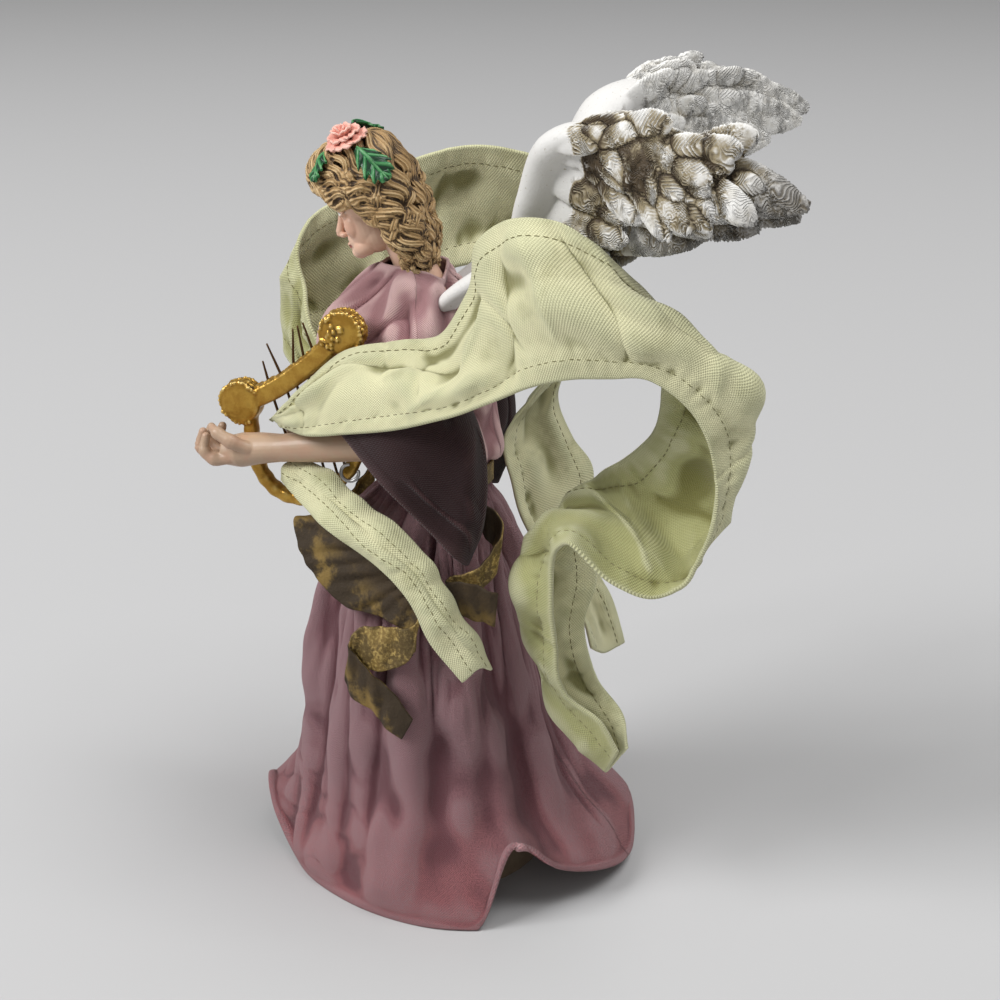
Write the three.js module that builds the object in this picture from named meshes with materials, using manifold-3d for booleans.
// An angel tree topper: a stiffened cloth dress and scarf over a card cone, with cast head, hands,
// wings and lyre. Millimetres, +Z up; the figure faces -Y and its left hand is at +X.
// Places are shares: x and y of figureReach, z a level between the floor, the waist and the shoulders.
import * as THREE from 'three';
import { mergeVertices } from 'three/addons/utils/BufferGeometryUtils.js';
import Module from 'manifold-3d';

const wasm = await Module();
wasm.setup();

// Driving sizes.
const figureReach = 100;
const shoulderHeight = 200;
const gap = 0.3;
const looseGap = 0.5;
const clothThickness = 1.2;
const ribbonThickness = 0.9;

// Card cone that goes over the tree tip.
const coneHeight = 150;
const coneBaseRadius = 40;
const coneTopRadius = 12.5;
const cardThickness = 1.5;
const coneOffset = -5;

// Body inside the dress.
const spigotLength = 12;
const waistRadius = 18;
const neckRadius = 7;

// Dress.
const waistbandRise = 4;
const skirtFoldDepth = 3.2;
const bodiceFoldDepth = 1.1;
const sleeveFoldDepth = 1.6;
const beltHeight = 7;
const beltDrop = 4;

// Head and hair.
const headHeight = 34;
const headDepth = 27;
const headWidth = 23;
const headPitch = THREE.MathUtils.degToRad(18);
const hairDepth = 3.4;
const lockRadius = 3.4;
const roseRadius = 7;
const leafLength = 15;
const leafWidth = 8;
const leafThickness = 1.2;

// Arms.
const wireRadius = 1.2;
const fingerRadius = 2.2;

// Wings.
const featherThickness = 3.6;
const featherWidth = 18;
const wingArmRadius = 10;
const rightWingSetBack = 0.28;

// Lyre.
const lyreSpan = 47;
const lyreDepth = 6.5;
const lobeRadius = 8.3;
const barHalfWidth = 3.4;
const frameHalfWidth = 2.4;
const stringRadius = 0.5;

// Hook.
const hookRadius = 3;
const hookWire = 0.6;

const up = new THREE.Vector3(0, 0, 1);
const skirtTop = coneHeight + waistbandRise;
const beltBottom = coneHeight - beltDrop;

// Heights are shares that reach the cone's top at the waist and shoulderHeight at 1.
const waistLevelShare = 0.75;

function level(share) {
  if (share < waistLevelShare) {
    return (share / waistLevelShare) * coneHeight;
  }
  return coneHeight + ((share - waistLevelShare) / (1 - waistLevelShare)) * (shoulderHeight - coneHeight);
}

function place([x, y, z]) {
  return new THREE.Vector3(x * figureReach, y * figureReach, level(z));
}

function lerpNumber(table, share) {
  const at = share * (table.length - 1);
  const low = Math.min(Math.floor(at), table.length - 2);
  return table[low] + (table[low + 1] - table[low]) * (at - low);
}

// A solid from points and triangles, turned outward if its volume comes out negative.
function closedSolid(points, faces) {
  let volume = 0;
  for (let i = 0; i < faces.length; i += 3) {
    const [a, b, c] = [points[faces[i]], points[faces[i + 1]], points[faces[i + 2]]];
    volume += a.dot(b.clone().cross(c));
  }
  const order = volume > 0 ? [0, 1, 2] : [0, 2, 1];
  const triVerts = new Uint32Array(faces.length);
  for (let i = 0; i < faces.length; i += 3) {
    order.forEach((k, n) => {
      triVerts[i + n] = faces[i + k];
    });
  }
  const vertProperties = new Float32Array(points.flatMap((point) => [point.x, point.y, point.z]));
  return new wasm.Manifold(new wasm.Mesh({ numProp: 3, vertProperties, triVerts }));
}

function fromGeometry(geometry) {
  const bare = geometry.clone();
  bare.deleteAttribute('normal');
  bare.deleteAttribute('uv');
  const merged = mergeVertices(bare);
  const position = merged.getAttribute('position');
  const points = [];
  for (let i = 0; i < position.count; i++) {
    points.push(new THREE.Vector3().fromBufferAttribute(position, i));
  }
  return closedSolid(points, Array.from(merged.index.array));
}

// Joins rings of equally many points into one closed skin; a looped one has no caps.
function skin(rings, looped = false) {
  const count = rings[0].length;
  const points = rings.flat();
  const faces = [];
  const spans = looped ? rings.length : rings.length - 1;
  for (let i = 0; i < spans; i++) {
    const next = (i + 1) % rings.length;
    for (let j = 0; j < count; j++) {
      const k = (j + 1) % count;
      const corner = i * count + j;
      const across = next * count + k;
      faces.push(corner, i * count + k, across, corner, across, next * count + j);
    }
  }
  if (!looped) {
    const last = (rings.length - 1) * count;
    const startCentre = points.length;
    points.push(middle(rings[0]), middle(rings[rings.length - 1]));
    for (let j = 0; j < count; j++) {
      const k = (j + 1) % count;
      faces.push(startCentre, k, j, startCentre + 1, last + j, last + k);
    }
  }
  return closedSolid(points, faces);
}

function middle(ring) {
  const sum = new THREE.Vector3();
  ring.forEach((point) => sum.add(point));
  return sum.divideScalar(ring.length);
}

// The places with both ends carried on by a length.
function lengthened(places, length) {
  const count = places.length;
  const start = places[0].clone().sub(places[1]).setLength(length).add(places[0]);
  const end = places[count - 1].clone().sub(places[count - 2]).setLength(length).add(places[count - 1]);
  return [start, ...places.slice(1, -1), end];
}

// A limb along a curve through the places, with its own half width and half height at each.
function limb(places, halfWidths, halfHeights, sides, steps, reference = up) {
  const path = new THREE.CatmullRomCurve3(places);
  const rings = [];
  for (let i = 0; i <= steps; i++) {
    const share = i / steps;
    const centre = path.getPoint(share);
    const along = path.getTangent(share);
    const side = along.clone().cross(reference).normalize();
    const rise = side.clone().cross(along).normalize();
    const halfWidth = lerpNumber(halfWidths, share);
    const halfHeight = lerpNumber(halfHeights, share);
    const ring = [];
    for (let j = 0; j < sides; j++) {
      const turn = (j / sides) * 2 * Math.PI;
      ring.push(centre.clone()
        .addScaledVector(side, halfWidth * Math.cos(turn))
        .addScaledVector(rise, halfHeight * Math.sin(turn)));
    }
    rings.push(ring);
  }
  return skin(rings);
}

// Wire of one radius along a curve.
function wire(places, radius, sides, steps) {
  const section = new THREE.Shape();
  section.absarc(0, 0, radius, 0, 2 * Math.PI);
  const options = { steps, curveSegments: sides / 2, extrudePath: new THREE.CatmullRomCurve3(places) };
  return fromGeometry(new THREE.ExtrudeGeometry(section, options));
}

// A smooth net of points through rows of places.
function drape(rows, steps, acrossSteps, wrapped = false) {
  const columns = rows[0].map((_, j) => new THREE.CatmullRomCurve3(rows.map((row) => row[j])));
  const net = [];
  for (let i = 0; i <= steps; i++) {
    const across = new THREE.CatmullRomCurve3(columns.map((column) => column.getPoint(i / steps)), wrapped);
    const row = [];
    for (let j = 0; j < acrossSteps + (wrapped ? 0 : 1); j++) {
      row.push(across.getPoint(j / acrossSteps));
    }
    net.push(row);
  }
  return net;
}

// The normal at a point of a net; a wrapped net closes on itself across its rows.
function netNormal(net, i, j, wrapped) {
  const count = net[0].length;
  const below = net[Math.max(i - 1, 0)][j];
  const above = net[Math.min(i + 1, net.length - 1)][j];
  const left = wrapped ? net[i][(j + count - 1) % count] : net[i][Math.max(j - 1, 0)];
  const right = wrapped ? net[i][(j + 1) % count] : net[i][Math.min(j + 1, count - 1)];
  return above.clone().sub(below).cross(right.clone().sub(left)).normalize();
}

// The net moved along its normals.
function shifted(net, distance, wrapped) {
  return net.map((row, i) => row.map((point, j) => (
    point.clone().addScaledVector(netNormal(net, i, j, wrapped), distance)
  )));
}

// Cloth of one thickness about a net that is open at all four edges.
function sheet(net, thickness) {
  const front = shifted(net, thickness / 2, false);
  const back = shifted(net, -thickness / 2, false);
  const rings = front.map((row, i) => [...row, ...back[i].toReversed()]);
  const count = rings[0].length;
  const wide = front[0].length;
  const points = rings.flat();
  const faces = [];
  for (let i = 0; i < rings.length - 1; i++) {
    for (let j = 0; j < count; j++) {
      const k = (j + 1) % count;
      const corner = i * count + j;
      const across = (i + 1) * count + k;
      faces.push(corner, i * count + k, across, corner, across, (i + 1) * count + j);
    }
  }
  const last = (rings.length - 1) * count;
  for (let j = 0; j < wide - 1; j++) {
    const facing = count - 1 - j;
    faces.push(j, facing, facing - 1, j, facing - 1, j + 1);
    faces.push(last + j, last + facing - 1, last + facing, last + j, last + j + 1, last + facing - 1);
  }
  return closedSolid(points, faces);
}

// Cloth of one thickness about a net that closes on itself, open at both ends.
function tube(net, thickness) {
  const outside = shifted(net, thickness / 2, true);
  const inside = shifted(net, -thickness / 2, true);
  return skin([...outside, ...inside.toReversed()], true);
}

function ellipsoid(halfSizes, widthSegments, heightSegments, moves = []) {
  const geometry = new THREE.SphereGeometry(1, widthSegments, heightSegments);
  geometry.scale(...halfSizes);
  moves.forEach((matrix) => geometry.applyMatrix4(matrix));
  return fromGeometry(geometry);
}

function join(solids) {
  return solids.reduce((whole, solid) => whole.add(solid));
}

function cutBy(solid, tools) {
  return tools.reduce((rest, tool) => rest.subtract(tool), solid);
}

// What a cut leaves of a piece, without loose crumbs.
function largest(solid) {
  const bodies = solid.decompose();
  return bodies.reduce((best, body) => (body.volume() > best.volume() ? body : best));
}

const angel = new THREE.Group();

const finishes = {
  card: { color: 0xcbb79a, roughness: 0.9, metalness: 0 },
  plaster: { color: 0xe9e4da, roughness: 0.8, metalness: 0 },
  steel: { color: 0x8d8d90, roughness: 0.4, metalness: 1 },
  skin: { color: 0xe3bfa6, roughness: 0.5, metalness: 0 },
  pink: { color: 0xc08a93, roughness: 0.9, metalness: 0 },
  rose: { color: 0xb06a74, roughness: 0.9, metalness: 0 },
  plum: { color: 0x5d3a48, roughness: 0.9, metalness: 0 },
  green: { color: 0xc9cb96, roughness: 0.9, metalness: 0 },
  ribbon: { color: 0xa98a3c, roughness: 0.5, metalness: 0.4 },
  hair: { color: 0x9a7a52, roughness: 0.7, metalness: 0 },
  coral: { color: 0xd98078, roughness: 0.6, metalness: 0 },
  leaf: { color: 0x2f7a45, roughness: 0.6, metalness: 0 },
  wing: { color: 0xe4e0d8, roughness: 0.5, metalness: 0 },
  gold: { color: 0xa98a3c, roughness: 0.35, metalness: 0.8 },
  bronze: { color: 0x5a4424, roughness: 0.4, metalness: 1 },
};

function addPiece(name, solid, finish) {
  const mesh = solid.getMesh();
  const geometry = new THREE.BufferGeometry();
  geometry.setAttribute('position', new THREE.BufferAttribute(mesh.vertProperties, 3));
  geometry.setIndex(new THREE.BufferAttribute(mesh.triVerts, 1));
  geometry.computeVertexNormals();
  const piece = new THREE.Mesh(geometry, new THREE.MeshStandardMaterial(finish));
  piece.name = name;
  angel.add(piece);
}

// Cone: a closed profile turned about its axis, open at both ends.
const coneSides = 32;

function coneSolid() {
  const profile = [
    new THREE.Vector2(coneBaseRadius - cardThickness, 0),
    new THREE.Vector2(coneBaseRadius, 0),
    new THREE.Vector2(coneTopRadius, coneHeight),
    new THREE.Vector2(coneTopRadius - cardThickness, coneHeight),
  ];
  const geometry = new THREE.LatheGeometry([...profile, profile[0]], coneSides);
  geometry.rotateX(Math.PI / 2);
  geometry.translate(0, coneOffset, 0);
  return fromGeometry(geometry);
}

// A level ring, deeper in front; above 1, frontPoint narrows its front towards a point.
function flatRing(centreY, height, halfWidth, front, back, count, frontPoint = 1, ripple = () => 0) {
  const ring = [];
  for (let j = 0; j < count; j++) {
    const turn = (j / count) * 2 * Math.PI;
    const rise = Math.sin(turn);
    const depth = rise < 0 ? -front * (-rise) ** frontPoint : back * rise;
    const swell = 1 + ripple(turn) / halfWidth;
    ring.push(new THREE.Vector3(halfWidth * swell * Math.cos(turn), centreY + depth * swell, height));
  }
  return ring;
}

// Torso: a spigot in the cone's mouth, then waist, chest and shoulders.
const torsoShares = [
  { z: 0.79, y: -0.05, halfWidth: 0.18, halfDepth: 0.17 },
  { z: 0.86, y: -0.06, halfWidth: 0.19, halfDepth: 0.15 },
  { z: 0.93, y: -0.07, halfWidth: 0.21, halfDepth: 0.14 },
  { z: 0.99, y: -0.07, halfWidth: 0.2, halfDepth: 0.12 },
  { z: 1.02, y: -0.07, halfWidth: 0.13, halfDepth: 0.09 },
];
const torsoTop = level(torsoShares[torsoShares.length - 1].z);
const torsoSides = 20;

function torsoSolid() {
  const spigotRadius = coneTopRadius - cardThickness - gap;
  const seat = coneHeight + gap;
  const rings = [
    flatRing(coneOffset, seat - spigotLength, spigotRadius, spigotRadius, spigotRadius, torsoSides),
    flatRing(coneOffset, seat, spigotRadius, spigotRadius, spigotRadius, torsoSides),
    flatRing(coneOffset, seat, waistRadius, waistRadius, waistRadius, torsoSides),
  ];
  torsoShares.forEach(({ z, y, halfWidth, halfDepth }) => {
    const depth = halfDepth * figureReach;
    rings.push(flatRing(
      y * figureReach, level(z), halfWidth * figureReach, depth, depth, torsoSides,
    ));
  });
  return skin(rings);
}

// One steel wire runs from forearm to forearm through the torso.
const armWireShares = [
  [0.31, -0.2, 0.845], [0.345, -0.06, 0.855], [0.35, 0.03, 0.895], [0.27, 0, 0.965],
  [0.12, -0.06, 0.985], [-0.12, -0.06, 0.985],
  [-0.27, 0, 0.965], [-0.35, 0.03, 0.895], [-0.345, -0.06, 0.855], [-0.27, -0.2, 0.845],
];
const wireSides = 6;
const wireSteps = 30;

function armWireSolid(grow = 0) {
  return wire(lengthened(armWireShares.map(place), grow), wireRadius + grow, wireSides, wireSteps);
}

// Forearm and hand. Palm up, fingers curled, thumb lying across the top.
const leftArmShares = [
  [0.345, -0.03, 0.853], [0.32, -0.2, 0.846], [0.28, -0.38, 0.83], [0.25, -0.53, 0.818],
  [0.23, -0.61, 0.812], [0.21, -0.68, 0.804], [0.2, -0.74, 0.8],
];
const armWidthShares = [0.055, 0.06, 0.056, 0.052, 0.065, 0.075, 0.06];
const armHeightShares = [0.055, 0.06, 0.056, 0.047, 0.053, 0.058, 0.048];
const armSides = 10;
const fingerSides = 5;
const fingerSteps = 4;
const fingerTaperShares = [1, 1, 1, 0.5];
const leftFingerShares = [
  [[0.25, -0.71, 0.797], [0.25, -0.77, 0.793], [0.245, -0.805, 0.807], [0.235, -0.8, 0.83]],
  [[0.215, -0.72, 0.793], [0.21, -0.79, 0.79], [0.205, -0.83, 0.807], [0.2, -0.82, 0.832]],
  [[0.18, -0.72, 0.793], [0.175, -0.78, 0.793], [0.17, -0.815, 0.812], [0.165, -0.8, 0.835]],
  [[0.15, -0.7, 0.797], [0.14, -0.75, 0.797], [0.135, -0.78, 0.814], [0.135, -0.77, 0.832]],
  [[0.27, -0.64, 0.817], [0.285, -0.7, 0.832], [0.27, -0.75, 0.844], [0.25, -0.77, 0.848]],
];
const rightArmShares = [
  [-0.345, -0.03, 0.853], [-0.3, -0.19, 0.846], [-0.22, -0.33, 0.835], [-0.12, -0.41, 0.822],
  [-0.06, -0.44, 0.812], [0.0, -0.46, 0.804], [0.04, -0.47, 0.8],
];
const rightFingerShares = [
  [[0.02, -0.425, 0.805], [0.07, -0.43, 0.8], [0.1, -0.435, 0.815], [0.105, -0.44, 0.835]],
  [[0.02, -0.46, 0.8], [0.075, -0.465, 0.795], [0.105, -0.47, 0.812], [0.11, -0.475, 0.835]],
  [[0.01, -0.49, 0.8], [0.065, -0.5, 0.797], [0.095, -0.51, 0.812], [0.1, -0.515, 0.832]],
  [[0.0, -0.515, 0.803], [0.05, -0.53, 0.8], [0.08, -0.54, 0.812], [0.085, -0.545, 0.828]],
  [[-0.03, -0.42, 0.825], [0.0, -0.4, 0.845], [0.03, -0.4, 0.86], [0.05, -0.41, 0.87]],
];

function armSolid(armShares, fingerShares, grow = 0) {
  const scaled = (shares) => shares.map((share) => share * figureReach + grow);
  const arm = limb(
    armShares.map(place), scaled(armWidthShares), scaled(armHeightShares), armSides, armSides,
  );
  const taper = fingerTaperShares.map((share) => share * fingerRadius);
  const fingers = fingerShares.map((places) => (
    limb(places.map(place), taper, taper, fingerSides, fingerSteps)
  ));
  return join([arm, ...fingers]);
}

// Head: a skull and jaw turned forward on a leaning neck that grows from a shoulder plate.
const headShares = [0, -0.235, 1.232];
const neckShares = [[0, -0.08, 1.015], [0, -0.08, 1.06], [0, -0.1, 1.1], [0, -0.18, 1.2]];
const neckSwellShares = [1.6, 1.3, 1, 1];
const neckSides = 12;

function headMatrix() {
  const centre = place(headShares);
  return new THREE.Matrix4().makeTranslation(centre.x, centre.y, centre.z)
    .multiply(new THREE.Matrix4().makeRotationX(headPitch));
}

function headPlace(shares) {
  return new THREE.Vector3(shares[0] * headWidth, shares[1] * headDepth, shares[2] * headHeight)
    .applyMatrix4(headMatrix());
}

const headShapes = {
  skull: { halfShares: [0.46, 0.5, 0.4], centreShares: [0, -0.04, 0.06], sides: 16 },
  jaw: { halfShares: [0.36, 0.38, 0.37], centreShares: [0, -0.2, -0.22], sides: 14 },
  nose: { halfShares: [0.07, 0.09, 0.13], centreShares: [0, -0.6, -0.2], sides: 8 },
  chin: { halfShares: [0.15, 0.11, 0.08], centreShares: [0, -0.44, -0.52], sides: 10 },
  lips: { halfShares: [0.12, 0.06, 0.035], centreShares: [0, -0.54, -0.41], sides: 8 },
  hairCap: { halfShares: [0.48, 0.48, 0.38], centreShares: [0, -0.04, 0.08], sides: 16 },
  faceOpening: { halfShares: [0.66, 0.48, 0.48], centreShares: [0, -0.54, -0.38], sides: 12 },
};

function headPart(name, grow = 0) {
  const { halfShares, centreShares, sides } = headShapes[name];
  const [x, y, z] = halfShares;
  const halfSizes = [x * headWidth + grow, y * headDepth + grow, z * headHeight + grow];
  const centre = headPlace(centreShares);
  return ellipsoid(halfSizes, sides, sides / 2 + 2, [
    new THREE.Matrix4().makeRotationX(headPitch),
    new THREE.Matrix4().makeTranslation(centre.x, centre.y, centre.z),
  ]);
}

function faceSolid(grow = 0) {
  return join(['skull', 'jaw', 'nose', 'chin', 'lips'].map((name) => headPart(name, grow)));
}

function neckSolid(grow = 0) {
  const radii = neckSwellShares.map((share) => share * neckRadius + grow);
  const places = lengthened(neckShares.map(place), grow);
  return limb(places, radii, radii, neckSides, neckSides / 2, new THREE.Vector3(0, 1, 0));
}

function bustSolid() {
  return cutBy(join([faceSolid(), neckSolid()]), [blockBelow(torsoTop + gap)]);
}

// Hair: a waved cap that leaves the face open, with locks gathered at the nape.
const lockShares = [
  [[0.22, -0.38, 0.4], [0.5, -0.17, 0.17], [0.6, 0.06, -0.14], [0.53, 0.24, -0.5], [0.3, 0.19, -0.8]],
  [[0.4, -0.08, 0.44], [0.6, 0.12, 0.17], [0.6, 0.25, -0.15], [0.5, 0.33, -0.5], [0.26, 0.25, -0.82]],
  [[0.33, 0.23, 0.42], [0.52, 0.32, 0.11], [0.52, 0.36, -0.26], [0.38, 0.38, -0.56], [0.17, 0.27, -0.86]],
];
const napeLockShares = [
  [0, 0.33, 0.4], [0, 0.47, -0.03], [0, 0.46, -0.38], [0, 0.38, -0.66], [0, 0.2, -0.92],
];
const napeLockWidthShare = 2;
const lockTaperShares = [0.5, 1, 1, 0.5];
const lockSides = 5;
const lockSteps = 4;

function hairSolid(grow = 0) {
  const taper = lockTaperShares.map((share) => share * lockRadius + grow);
  const locks = lockShares.flatMap((places) => [1, -1].map((side) => {
    const path = places.map(([x, y, z]) => headPlace([side * x, y, z]));
    return limb(lengthened(path, grow), taper, taper, lockSides, lockSteps);
  }));
  const wide = taper.map((radius) => radius * napeLockWidthShare);
  locks.push(limb(lengthened(napeLockShares.map(headPlace), grow), wide, taper, lockSides + 1, lockSteps));
  return cutBy(join([headPart('hairCap', hairDepth + grow), ...locks]), [headPart('faceOpening', -grow)]);
}

// Rose: petals about a bud. Leaf: a pointed blade bent over its middle rib.
const roseShares = [0.3, -0.08, 0.62];
const budShares = [0.5, 0.5, 0.6];
const petalCount = 5;
const petalShares = [0.5, 0.45, 0.28];
const petalReachShare = 0.55;
const petalLean = THREE.MathUtils.degToRad(36);
const petalSides = 8;

function roseSolid(grow = 0) {
  const centre = headPlace(roseShares);
  const seat = new THREE.Matrix4().makeTranslation(centre.x, centre.y, centre.z);
  const tilt = new THREE.Matrix4().makeRotationX(headPitch);
  const halves = (shares) => shares.map((share) => share * roseRadius + grow);
  const parts = [ellipsoid(halves(budShares), petalSides, petalSides / 2, [seat])];
  for (let i = 0; i < petalCount; i++) {
    parts.push(ellipsoid(halves(petalShares), petalSides, petalSides / 2, [
      new THREE.Matrix4().makeRotationY(-petalLean),
      new THREE.Matrix4().makeTranslation(petalReachShare * roseRadius, 0, 0),
      new THREE.Matrix4().makeRotationZ((i / petalCount) * 2 * Math.PI),
      tilt,
      seat,
    ]));
  }
  return join(parts);
}

const leaves = [
  { name: 'hair_leaf_near', rootShares: [0.52, 0.06, 0.48], tipShares: [0.8, 0.42, 0.01], sizeShare: 1 },
  { name: 'hair_leaf_front', rootShares: [0.3, -0.34, 0.5], tipShares: [0.52, -0.52, 0.3], sizeShare: 0.7 },
  { name: 'hair_leaf_far', rootShares: [-0.09, -0.02, 0.66], tipShares: [-0.61, 0.1, 0.4], sizeShare: 1 },
];
const leafOutlineShares = [0.15, 0.75, 1, 0.75, 0.1];
const leafSteps = 5;

function leafSolid({ rootShares, tipShares, sizeShare }) {
  const root = headPlace(rootShares);
  const along = headPlace(tipShares).sub(root).normalize();
  const outward = root.clone().sub(place(headShares)).normalize();
  const side = along.clone().cross(outward).normalize();
  const rise = side.clone().cross(along).normalize();
  const rows = leafOutlineShares.map((width, i) => {
    const share = i / (leafOutlineShares.length - 1);
    const spine = root.clone().addScaledVector(along, share * sizeShare * leafLength)
      .addScaledVector(rise, leafThickness * Math.sin(share * Math.PI));
    const half = (width * sizeShare * leafWidth) / 2;
    return [-1, 0, 1].map((edge) => spine.clone().addScaledVector(side, edge * half)
      .addScaledVector(rise, -Math.abs(edge) * leafThickness));
  });
  return sheet(drape(rows, leafSteps, 2), leafThickness);
}

// Skirt: a waved hem that is lifted in places, drawn in to a gathered waist.
const hemShares = [
  [0.61, 0.0, -0.002], [0.61, 0.17, 0.0], [0.52, 0.3, 0.15], [0.46, 0.44, 0.09], [0.32, 0.6, 0.05],
  [0.1, 0.68, 0.02], [-0.14, 0.66, 0.06], [-0.36, 0.55, -0.002], [-0.52, 0.38, 0.05], [-0.6, 0.16, -0.002],
  [-0.6, -0.1, 0.05], [-0.52, -0.34, -0.002], [-0.42, -0.5, 0.06], [-0.22, -0.64, -0.002], [0.0, -0.71, 0.1],
  [0.12, -0.66, 0.06], [0.24, -0.56, 0.01], [0.38, -0.45, -0.002], [0.53, -0.24, -0.002],
];
const skirtRowShares = [
  { z: 0.03, radius: 0.6, y: -0.02, hem: 0.8 },
  { z: 0.08, radius: 0.54, y: -0.04, hem: 0.55 },
  { z: 0.15, radius: 0.48, y: -0.05, hem: 0.3 },
  { z: 0.24, radius: 0.45, y: -0.06, hem: 0.1 },
  { z: 0.36, radius: 0.42, y: -0.08, hem: 0 },
  { z: 0.48, radius: 0.37, y: -0.09, hem: 0 },
  { z: 0.6, radius: 0.305, y: -0.09, hem: 0 },
  { z: 0.68, radius: 0.245, y: -0.07, hem: 0 },
];
const skirtColumns = 46;

// Waves about the vertical axis: share of the fold depth, count in a full turn, phase.
const skirtWaves = [
  { share: 0.55, count: 11, phase: 0.6 },
  { share: 0.35, count: 7, phase: 2.2 },
  { share: 0.25, count: 17, phase: 1 },
];
const bodiceWaves = [{ share: 0.6, count: 9, phase: 0.8 }, { share: 0.4, count: 14, phase: 2 }];
const sleeveWaves = [{ share: 1, count: 5, phase: 1 }];

function waved(waves, turn) {
  return waves.reduce((sum, { share, count, phase }) => sum + share * Math.cos(count * turn + phase), 0);
}

function skirtNet() {
  const hem = new THREE.CatmullRomCurve3(hemShares.map(place), true);
  const hemRow = [];
  for (let j = 0; j < skirtColumns; j++) {
    hemRow.push(hem.getPoint(j / skirtColumns));
  }
  const rows = [hemRow];
  skirtRowShares.forEach(({ z, radius, y, hem: hemPull }) => {
    const mean = radius * figureReach;
    rows.push(hemRow.map((edge) => {
      const turn = Math.atan2(edge.y, edge.x);
      const reach = mean + skirtFoldDepth * waved(skirtWaves, turn) * (1 - hemPull);
      const body = new THREE.Vector3(
        reach * Math.cos(turn), y * figureReach + reach * Math.sin(turn), level(z),
      );
      return body.lerp(new THREE.Vector3(edge.x, edge.y, body.z + edge.z), hemPull);
    }));
  });
  const neck = waistRadius + gap + clothThickness / 2;
  [beltBottom - beltDrop / 2, skirtTop].forEach((height) => {
    rows.push(hemRow.map((edge) => {
      const turn = Math.atan2(edge.y, edge.x);
      return new THREE.Vector3(neck * Math.cos(turn), coneOffset + neck * Math.sin(turn), height);
    }));
  });
  return rows;
}

// Everything below a height, as a block to cut with.
const blockSpan = 400;

function blockBelow(height) {
  const block = new THREE.BoxGeometry(blockSpan, blockSpan, blockSpan);
  block.translate(0, 0, height - blockSpan / 2);
  return fromGeometry(block);
}

// Belt: the gold ribbon's turn about the waist. Both streamers start on its outside.
const beltSides = 36;
const beltInner = waistRadius + clothThickness + 2 * gap;
const streamerRadius = beltInner + ribbonThickness + gap + ribbonThickness / 2;

function beltPlace(turn, height) {
  return new THREE.Vector3(
    streamerRadius * Math.cos(turn), coneOffset + streamerRadius * Math.sin(turn), height,
  );
}

function streamerRows(turn, rows) {
  const knot = [beltPlace(turn, beltBottom + beltHeight), beltPlace(turn, beltBottom)];
  return [knot, ...placedRows(rows)];
}

function beltSolid() {
  const profile = [
    new THREE.Vector2(beltInner, beltBottom),
    new THREE.Vector2(beltInner + ribbonThickness, beltBottom),
    new THREE.Vector2(beltInner + ribbonThickness, beltBottom + beltHeight),
    new THREE.Vector2(beltInner, beltBottom + beltHeight),
  ];
  const geometry = new THREE.LatheGeometry([...profile, profile[0]], beltSides);
  geometry.rotateX(Math.PI / 2);
  geometry.translate(0, coneOffset, 0);
  return fromGeometry(geometry);
}

// Bodice: blouses over the belt, fuller in front, and rises to a loose collar.
const bodiceShares = [
  { z: 0.79, y: -0.05, halfWidth: 0.215, front: 0.25, back: 0.21 },
  { z: 0.84, y: -0.06, halfWidth: 0.225, front: 0.28, back: 0.22 },
  { z: 0.91, y: -0.06, halfWidth: 0.23, front: 0.33, back: 0.21 },
  { z: 0.97, y: -0.07, halfWidth: 0.23, front: 0.36, back: 0.18 },
  { z: 1.02, y: -0.07, halfWidth: 0.2, front: 0.33, back: 0.15 },
  { z: 1.06, y: -0.08, halfWidth: 0.155, front: 0.25, back: 0.12 },
  { z: 1.115, y: -0.095, halfWidth: 0.108, front: 0.12, back: 0.095 },
];
const bodiceColumns = 32;
const bodicePoint = 1.45;

function bodiceNet(grow = 0) {
  const start = waistRadius + gap + clothThickness / 2 + grow;
  const foot = skirtTop + gap + clothThickness / 2;
  const rings = [flatRing(coneOffset, foot, start, start, start, bodiceColumns)];
  bodiceShares.forEach(({ z, y, halfWidth, front, back }, row) => {
    const depth = row < bodiceShares.length - 1 ? bodiceFoldDepth : bodiceFoldDepth / 2;
    const ripple = (turn) => depth * waved(bodiceWaves, turn);
    rings.push(flatRing(
      y * figureReach, level(z), halfWidth * figureReach + grow,
      front * figureReach + grow, back * figureReach + grow, bodiceColumns, bodicePoint, ripple,
    ));
  });
  return rings;
}

function bodiceVolume() {
  return skin(bodiceNet(clothThickness / 2 + looseGap));
}

// Sleeves: bells that open forward and down, longest at the back.
const sleeveShares = [
  { centre: [0.19, -0.06, 0.985], across: [0.05, 0, 0.03], down: [0, 0.1, 0.01] },
  { centre: [0.26, -0.04, 0.95], across: [0.08, 0, 0.02], down: [0, 0.13, -0.01] },
  { centre: [0.333, 0.0, 0.9], across: [0.1, 0, 0.015], down: [0.01, 0.17, -0.05] },
  { centre: [0.355, -0.05, 0.835], across: [0.1, 0, 0.01], down: [0.02, 0.22, -0.115] },
  { centre: [0.36, -0.11, 0.77], across: [0.1, 0, 0.01], down: [0.03, 0.23, -0.12] },
];
const sleeveColumns = 18;
const sleeveSteps = 7;

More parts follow.
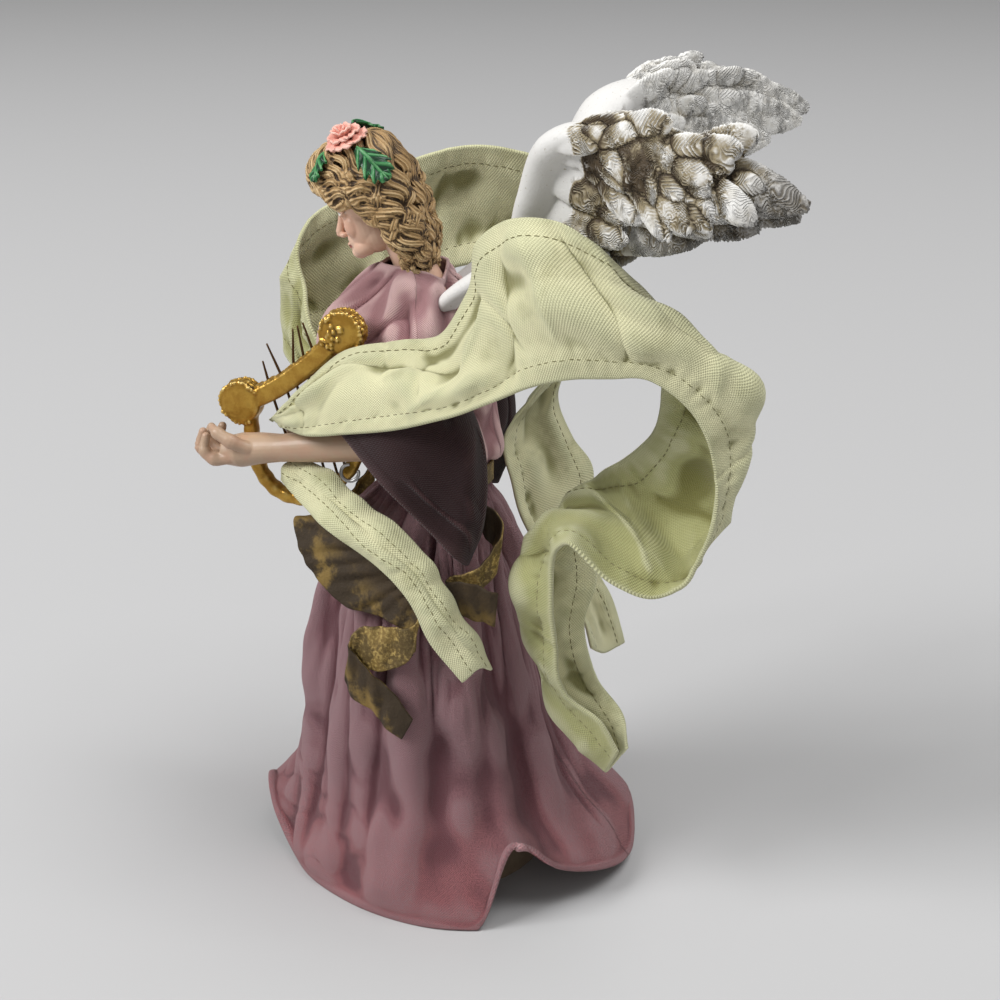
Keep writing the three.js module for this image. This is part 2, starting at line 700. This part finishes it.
function sleeveNet(side) {
  const mirrored = ([x, y, z]) => place([side * x, y, z]);
  const rows = sleeveShares.map(({ centre, across, down }, row) => {
    const [middlePoint, acrossAxis, downAxis] = [mirrored(centre), mirrored(across), mirrored(down)];
    const depth = (sleeveFoldDepth * row) / sleeveShares.length;
    const ring = [];
    for (let j = 0; j < sleeveColumns; j++) {
      const turn = (j / sleeveColumns) * 2 * Math.PI;
      const swell = 1 + (depth * waved(sleeveWaves, turn)) / acrossAxis.length();
      ring.push(middlePoint.clone()
        .addScaledVector(acrossAxis, swell * Math.cos(turn))
        .addScaledVector(downAxis, Math.sin(turn)));
    }
    return ring;
  });
  return drape(rows, sleeveSteps, sleeveColumns, true);
}

// Scarf: one long strip over each arm; near rows run from the hand to the trailing tip.
const leftShawlShares = [
  [[0.24, -0.57, 0.865], [0.26, -0.55, 0.868], [0.28, -0.52, 0.862]],
  [[0.27, -0.43, 0.935], [0.34, -0.42, 0.905], [0.37, -0.42, 0.865]],
  [[0.28, -0.3, 0.995], [0.38, -0.28, 0.945], [0.42, -0.27, 0.88]],
  [[0.3, -0.11, 1.02], [0.43, -0.09, 0.975], [0.49, -0.08, 0.905]],
  [[0.33, 0.04, 1.04], [0.48, 0.08, 0.99], [0.54, 0.08, 0.935]],
  [[0.36, 0.14, 1.12], [0.52, 0.2, 1.035], [0.58, 0.22, 0.97]],
  [[0.43, 0.17, 1.205], [0.58, 0.28, 1.095], [0.62, 0.35, 1.005]],
  [[0.5, 0.26, 1.245], [0.65, 0.4, 1.13], [0.65, 0.48, 1.025]],
  [[0.56, 0.43, 1.25], [0.7, 0.56, 1.13], [0.67, 0.6, 1.03]],
  [[0.6, 0.569, 1.205], [0.73, 0.725, 1.109], [0.68, 0.698, 1.035]],
  [[0.56, 0.695, 1.138], [0.71, 0.855, 1.101], [0.68, 0.783, 1.014]],
  [[0.51, 0.747, 1.062], [0.68, 0.992, 1.04], [0.68, 0.86, 0.972]],
  [[0.45, 0.745, 0.976], [0.62, 1.048, 0.972], [0.66, 0.911, 0.909]],
  [[0.39, 0.732, 0.91], [0.57, 0.998, 0.881], [0.63, 0.924, 0.83]],
  [[0.34, 0.678, 0.863], [0.52, 0.925, 0.775], [0.61, 0.891, 0.749]],
  [[0.3, 0.613, 0.828], [0.49, 0.84, 0.701], [0.59, 0.84, 0.682]],
  [[0.26, 0.559, 0.803], [0.44, 0.708, 0.713], [0.58, 0.734, 0.651]],
  [[0.23, 0.518, 0.78], [0.4, 0.601, 0.73], [0.58, 0.602, 0.675]],
  [[0.22, 0.481, 0.765], [0.36, 0.479, 0.745], [0.56, 0.47, 0.735]],
  [[0.21, 0.45, 0.75], [0.32, 0.38, 0.735], [0.53, 0.43, 0.72]],
  [[0.22, 0.5, 0.69], [0.33, 0.29, 0.66], [0.5, 0.41, 0.68]],
  [[0.22, 0.54, 0.595], [0.33, 0.27, 0.6], [0.47, 0.41, 0.6]],
  [[0.25, 0.5, 0.515], [0.33, 0.29, 0.525], [0.45, 0.42, 0.52]],
  [[0.29, 0.55, 0.425], [0.34, 0.36, 0.42], [0.44, 0.46, 0.425]],
  [[0.38, 0.65, 0.38], [0.36, 0.48, 0.32], [0.46, 0.58, 0.385]],
  [[0.43, 0.67, 0.33], [0.39, 0.6, 0.27], [0.46, 0.64, 0.33]],
];
const rightShawlShares = [
  [[-0.14, -0.45, 0.875], [-0.15, -0.47, 0.87], [-0.16, -0.45, 0.86]],
  [[-0.34, -0.56, 0.98], [-0.36, -0.6, 0.91], [-0.34, -0.58, 0.84]],
  [[-0.5, -0.62, 1.08], [-0.54, -0.7, 0.99], [-0.5, -0.7, 0.88]],
  [[-0.56, -0.58, 1.125], [-0.6, -0.6, 1.02], [-0.58, -0.58, 0.9]],
  [[-0.57, -0.45, 1.165], [-0.63, -0.44, 1.06], [-0.61, -0.42, 0.95]],
  [[-0.58, -0.26, 1.22], [-0.66, -0.24, 1.11], [-0.63, -0.22, 1.0]],
  [[-0.6, -0.05, 1.255], [-0.68, -0.02, 1.15], [-0.64, 0.0, 1.035]],
  [[-0.6, 0.14, 1.25], [-0.69, 0.18, 1.14], [-0.65, 0.18, 1.035]],
  [[-0.6, 0.34, 1.21], [-0.69, 0.36, 1.1], [-0.64, 0.34, 1.01]],
  [[-0.6, 0.438, 1.108], [-0.66, 0.437, 1.016], [-0.6, 0.38, 0.951]],
  [[-0.57, 0.444, 1], [-0.58, 0.42, 0.921], [-0.5, 0.332, 0.87]],
  [[-0.54, 0.376, 0.887], [-0.49, 0.33, 0.84], [-0.38, 0.25, 0.821]],
  [[-0.5, 0.33, 0.805], [-0.42, 0.26, 0.758], [-0.3, 0.16, 0.75]],
  [[-0.46, 0.395, 0.73], [-0.36, 0.304, 0.701], [-0.24, 0.2, 0.669]],
  [[-0.42, 0.475, 0.677], [-0.3, 0.338, 0.624], [-0.2, 0.26, 0.59]],
  [[-0.32, 0.462, 0.542], [-0.24, 0.379, 0.526], [-0.17, 0.36, 0.509]],
  [[-0.28, 0.57, 0.44], [-0.22, 0.485, 0.427], [-0.16, 0.459, 0.441]],
  [[-0.26, 0.621, 0.359], [-0.2, 0.55, 0.35], [-0.14, 0.508, 0.373]],
];
const scarfEndShares = [
  [[0.26, -0.5, 0.793], [0.27, -0.51, 0.791], [0.28, -0.5, 0.783]],
  [[0.3, -0.43, 0.787], [0.34, -0.46, 0.785], [0.34, -0.44, 0.75]],
  [[0.38, -0.29, 0.765], [0.45, -0.32, 0.755], [0.44, -0.36, 0.735]],
  [[0.45, -0.1, 0.72], [0.52, -0.18, 0.71], [0.5, -0.21, 0.685]],
  [[0.49, 0.02, 0.67], [0.56, -0.04, 0.67], [0.54, -0.11, 0.65]],
  [[0.5, 0.07, 0.62], [0.58, 0.04, 0.615], [0.56, -0.04, 0.61]],
  [[0.5, 0.16, 0.54], [0.58, 0.11, 0.565], [0.55, 0.02, 0.54]],
  [[0.5, 0.21, 0.485], [0.55, 0.18, 0.5], [0.54, 0.12, 0.47]],
];

// Gold ribbon: a front streamer in two curls, and a folded streamer at the left hip.
const frontRibbonTurn = THREE.MathUtils.degToRad(-72);
const hipRibbonTurn = THREE.MathUtils.degToRad(12);
const frontRibbonShares = [
  [[0.15, -0.33, 0.715], [0.11, -0.36, 0.685]],
  [[0.2, -0.4, 0.695], [0.15, -0.47, 0.67]],
  [[0.26, -0.37, 0.69], [0.2, -0.51, 0.68]],
  [[0.31, -0.3, 0.675], [0.24, -0.5, 0.655]],
  [[0.35, -0.23, 0.655], [0.27, -0.47, 0.625]],
  [[0.38, -0.16, 0.63], [0.3, -0.42, 0.591]],
  [[0.4, -0.11, 0.61], [0.35, -0.31, 0.553]],
  [[0.42, -0.05, 0.6], [0.4, -0.17, 0.545]],
  [[0.44, -0.03, 0.575], [0.44, -0.07, 0.525]],
  [[0.45, -0.06, 0.545], [0.45, -0.07, 0.485]],
  [[0.43, -0.15, 0.535], [0.44, -0.17, 0.455]],
  [[0.41, -0.255, 0.525], [0.41, -0.285, 0.45]],
  [[0.42, -0.29, 0.495], [0.41, -0.3, 0.405]],
  [[0.46, -0.21, 0.455], [0.45, -0.21, 0.38]],
  [[0.49, -0.12, 0.42], [0.48, -0.15, 0.355]],
  [[0.5, -0.06, 0.38], [0.495, -0.1, 0.34]],
];
const hipRibbonShares = [
  [[0.24, 0.1, 0.745], [0.24, 0.1, 0.7]],
  [[0.28, 0.19, 0.73], [0.28, 0.18, 0.67]],
  [[0.35, 0.23, 0.705], [0.34, 0.215, 0.65]],
  [[0.41, 0.17, 0.655], [0.4, 0.16, 0.605]],
  [[0.44, 0.07, 0.635], [0.43, 0.07, 0.585]],
  [[0.47, 0.06, 0.635], [0.46, 0.07, 0.58]],
  [[0.48, 0.14, 0.635], [0.47, 0.15, 0.57]],
  [[0.48, 0.23, 0.62], [0.475, 0.22, 0.56]],
];

function placedRows(rows) {
  return rows.map((row) => row.map(place));
}

// Wings: a thick smooth leading arm, then two rows of overlapping feathers that fan out and back.
const wingArmShares = [
  [0.09, 0.0, 1.05], [0.12, 0.06, 1.08], [0.16, 0.17, 1.12], [0.21, 0.285, 1.175], [0.275, 0.355, 1.256],
  [0.36, 0.415, 1.343], [0.46, 0.51, 1.372], [0.56, 0.63, 1.348], [0.62, 0.71, 1.32],
];
const wingArmSwellShares = [0.38, 0.42, 0.55, 0.85, 1, 1, 0.8, 0.5, 0.3];
const featherRootShares = [0.34, 0.45, 0.56, 0.67, 0.77, 0.85, 0.91, 0.97];
const featherTipShares = [
  [0.48, 0.66, 1.213], [0.63, 0.84, 1.244], [0.75, 0.985, 1.268], [0.85, 1.09, 1.295],
  [0.89, 1.11, 1.315], [0.81, 0.99, 1.322], [0.73, 0.89, 1.325], [0.66, 0.78, 1.33],
];
const featherOutlineShares = [0.7, 1, 1, 0.9, 0.5];
const featherArchShares = [0.33, 0.5, -0.33];
const featherSteps = 4;
const covertReachShare = 0.58;
const covertLiftShare = 0.8;
const wingArmFlatShare = 0.6;
const wingArmSides = 8;
const wingArmSteps = 11;
const wingFaceShares = [0.8, -0.6, 0];

function featherSolid(root, tip, width, outward, layer) {
  const along = tip.clone().sub(root);
  const side = along.clone().cross(outward).normalize();
  const rise = side.clone().cross(along).normalize();
  const rows = featherOutlineShares.map((widthShare, i) => {
    const share = i / (featherOutlineShares.length - 1);
    const spine = root.clone().addScaledVector(along, share)
      .addScaledVector(rise, layer * featherThickness);
    const half = (widthShare * width) / 2;
    return featherArchShares.map((arch, edge) => spine.clone().addScaledVector(side, (edge - 1) * half)
      .addScaledVector(rise, arch * featherThickness));
  });
  return sheet(drape(rows, featherSteps, featherArchShares.length - 1), featherThickness);
}

function wingSolid(side, setBack) {
  const mirrored = ([x, y, z]) => place([side * x, y + setBack * (z - wingArmShares[0][2]), z]);
  const swell = wingArmSwellShares.map((share) => share * wingArmRadius);
  const arm = wingArmShares.map(mirrored);
  const armCurve = new THREE.CatmullRomCurve3(arm);
  const flat = swell.map((radius) => radius * wingArmFlatShare);
  const parts = [limb(arm, swell, flat, wingArmSides, wingArmSteps)];
  const [faceX, faceY, faceZ] = wingFaceShares;
  const outward = new THREE.Vector3(side * faceX, faceY, faceZ);
  featherRootShares.forEach((rootShare, i) => {
    const root = armCurve.getPoint(rootShare);
    const tip = mirrored(featherTipShares[i]);
    parts.push(featherSolid(root, tip, featherWidth, outward, 0));
    if (i > 0) {
      const middleTip = root.clone().lerp(tip, covertReachShare);
      parts.push(featherSolid(root, middleTip, featherWidth, outward, covertLiftShare));
    }
  });
  return join(parts);
}

// Lyre: in its own frame the yoke runs along x between two scrolled lobes and the strings hang below.
const lyreLeftShares = [0.14, -0.69, 0.88];
const lyreRightShares = [0.215, -0.3, 1.025];
const yokeShares = [[0.08, -0.03], [0.3, -0.06], [0.55, -0.06], [0.8, -0.04], [0.94, 0.0]];
const leftHornShares = [
  [0, -0.1], [-0.14, -0.3], [-0.22, -0.52], [-0.19, -0.7], [-0.05, -0.84], [0.14, -0.88],
];
const rightHornShares = [
  [1, -0.1], [0.98, -0.28], [0.85, -0.5], [0.62, -0.72], [0.38, -0.85], [0.14, -0.88],
];
const stringTopShares = [0.24, 0.37, 0.475, 0.59, 0.69];
const stringFootShares = [-0.03, 0.08, 0.18, 0.28, 0.37];
const stringFootDropShares = [-0.85, -0.87, -0.88, -0.87, -0.85];
const stringRiseShares = [[0.09, 0.225], [0.07, 0.31], [0.21, 0.29], [0.14, 0.29], [0.09, 0.285]];
const stringCrossingShare = -0.07;
const barDepthShare = 0.9;
const lobeSides = 16;
const barSides = 6;
const barSteps = 8;
const stringSides = 6;
const stringSteps = 5;

function lyreMatrix() {
  const left = place(lyreLeftShares);
  const along = place(lyreRightShares).sub(left).normalize();
  const outward = up.clone().cross(along).negate().normalize();
  const rise = outward.clone().cross(along).normalize();
  const frame = new THREE.Matrix4().makeBasis(along, rise, along.clone().cross(rise));
  return frame.setPosition(left);
}

function lyrePoint([x, y], depth = 0) {
  return new THREE.Vector3(x * lyreSpan, y * lyreSpan, depth);
}

function lyreFrameSolid(grow = 0) {
  const depth = lyreDepth / 2 + grow;
  const lobe = (x) => {
    const disc = new THREE.CylinderGeometry(lobeRadius + grow, lobeRadius + grow, 2 * depth, lobeSides);
    disc.rotateX(Math.PI / 2);
    disc.translate(x * lyreSpan, 0, 0);
    return fromGeometry(disc);
  };
  const bar = (shares, half) => {
    const places = shares.map((share) => lyrePoint(share));
    const flat = shares.map(() => depth * barDepthShare);
    const wide = shares.map(() => half + grow);
    return limb(lengthened(places, grow), wide, flat, barSides, barSteps);
  };
  return join([
    lobe(0), lobe(1), bar(yokeShares, barHalfWidth),
    bar(leftHornShares, frameHalfWidth), bar(rightHornShares, frameHalfWidth),
  ]);
}

function lyreStringSolid(index, grow = 0) {
  const foot = lyrePoint([stringFootShares[index], stringFootDropShares[index]]);
  const crossing = lyrePoint([stringTopShares[index], stringCrossingShare]);
  const [leanX, leanY] = stringRiseShares[index];
  const tail = lyrePoint([stringTopShares[index] + leanX, stringCrossingShare + leanY]);
  const low = foot.clone().add(crossing).divideScalar(2);
  const places = lengthened([foot, low, crossing, tail], grow);
  return wire(places, stringRadius + grow, stringSides, stringSteps);
}

// Hook: a small open ring of wire that hangs from the underside of the left forearm.
const hookArmShare = 0.25;
const hookTurnShare = 0.8;
const hookPoints = 8;
const hookSteps = 12;

function hookSolid() {
  const arm = new THREE.CatmullRomCurve3(leftArmShares.map(place)).getPoint(hookArmShare);
  const below = Math.max(...armHeightShares) * figureReach;
  const centre = arm.addScaledVector(up, -(below + looseGap + hookWire + hookRadius));
  const points = [];
  for (let i = 0; i <= hookPoints; i++) {
    const turn = Math.PI / 2 + (i / hookPoints) * hookTurnShare * 2 * Math.PI;
    points.push(new THREE.Vector3(
      centre.x, centre.y + hookRadius * Math.cos(turn), centre.z + hookRadius * Math.sin(turn),
    ));
  }
  return wire(points, hookWire, wireSides, hookSteps);
}

const bodyVolume = bodiceVolume();
const lyrePlace = lyreMatrix();

addPiece('tree_cone', coneSolid(), finishes.card);
addPiece('torso_core', torsoSolid().subtract(armWireSolid(gap)), finishes.plaster);
addPiece('arm_wire', armWireSolid(), finishes.steel);
addPiece('head_bust', bustSolid(), finishes.skin);
const bodiceCloth = tube(bodiceNet(), clothThickness);
addPiece('bodice', largest(cutBy(bodiceCloth, [armWireSolid(gap)])), finishes.pink);
addPiece('skirt', largest(cutBy(tube(skirtNet(), clothThickness), [blockBelow(0)])), finishes.rose);
addPiece('waist_ribbon', beltSolid(), finishes.ribbon);

const grownLyre = lyreFrameSolid(gap).transform(lyrePlace.elements);
const armPieces = [
  { name: 'forearm_left', armShares: leftArmShares, fingerShares: leftFingerShares },
  { name: 'forearm_right', armShares: rightArmShares, fingerShares: rightFingerShares },
];
armPieces.forEach(({ name, armShares, fingerShares }) => {
  const forearm = cutBy(armSolid(armShares, fingerShares), [armWireSolid(gap), grownLyre]);
  addPiece(name, largest(forearm), finishes.skin);
});
const grownArms = armPieces.map(({ armShares, fingerShares }) => armSolid(armShares, fingerShares, gap));
[['sleeve_left', 1], ['sleeve_right', -1]].forEach(([name, side]) => {
  const bell = cutBy(tube(sleeveNet(side), clothThickness), [
    bodyVolume, armWireSolid(gap), grownLyre, ...grownArms,
  ]);
  addPiece(name, largest(bell), finishes.plum);
});

const scarves = [
  { name: 'shawl_left', shares: leftShawlShares, steps: 58, acrossSteps: 5 },
  { name: 'shawl_right', shares: rightShawlShares, steps: 42, acrossSteps: 5 },
  { name: 'shawl_left_end', shares: scarfEndShares, steps: 18, acrossSteps: 3 },
];
scarves.forEach(({ name, shares, steps, acrossSteps }) => {
  addPiece(name, sheet(drape(placedRows(shares), steps, acrossSteps), clothThickness), finishes.green);
});
const streamers = [
  { name: 'ribbon_front', turn: frontRibbonTurn, shares: frontRibbonShares, steps: 38 },
  { name: 'ribbon_hip', turn: hipRibbonTurn, shares: hipRibbonShares, steps: 20 },
];
streamers.forEach(({ name, turn, shares, steps }) => {
  addPiece(name, sheet(drape(streamerRows(turn, shares), steps, 2), ribbonThickness), finishes.ribbon);
});

const hair = cutBy(hairSolid(), [faceSolid(gap), neckSolid(gap)]);
const grownHair = hairSolid(gap);
addPiece('sculpted_hair', largest(hair), finishes.hair);
addPiece('hair_rose', largest(cutBy(roseSolid(), [grownHair])), finishes.coral);
leaves.forEach((leaf) => {
  addPiece(leaf.name, largest(cutBy(leafSolid(leaf), [grownHair, roseSolid(gap)])), finishes.leaf);
});

const wings = [
  { name: 'wing_left', side: 1, setBack: 0 },
  { name: 'wing_right', side: -1, setBack: rightWingSetBack },
];
wings.forEach(({ name, side, setBack }) => {
  addPiece(name, largest(cutBy(wingSolid(side, setBack), [bodyVolume])), finishes.wing);
});

const strings = stringTopShares.map((_, index) => lyreStringSolid(index));
const grownStrings = stringTopShares.map((_, index) => lyreStringSolid(index, gap));
const lyre = largest(cutBy(lyreFrameSolid(), grownStrings));
addPiece('lyre_frame', lyre.transform(lyrePlace.elements), finishes.gold);
strings.forEach((string, index) => {
  addPiece(`lyre_string_${index + 1}`, string.transform(lyrePlace.elements), finishes.bronze);
});
addPiece('wire_hook', hookSolid(), finishes.steel);

// The origin is the middle of the bounding box's underside.
const box = new THREE.Box3().setFromObject(angel, true);
const centre = box.getCenter(new THREE.Vector3());
angel.position.set(-centre.x, -centre.y, -box.min.z);

export default angel;
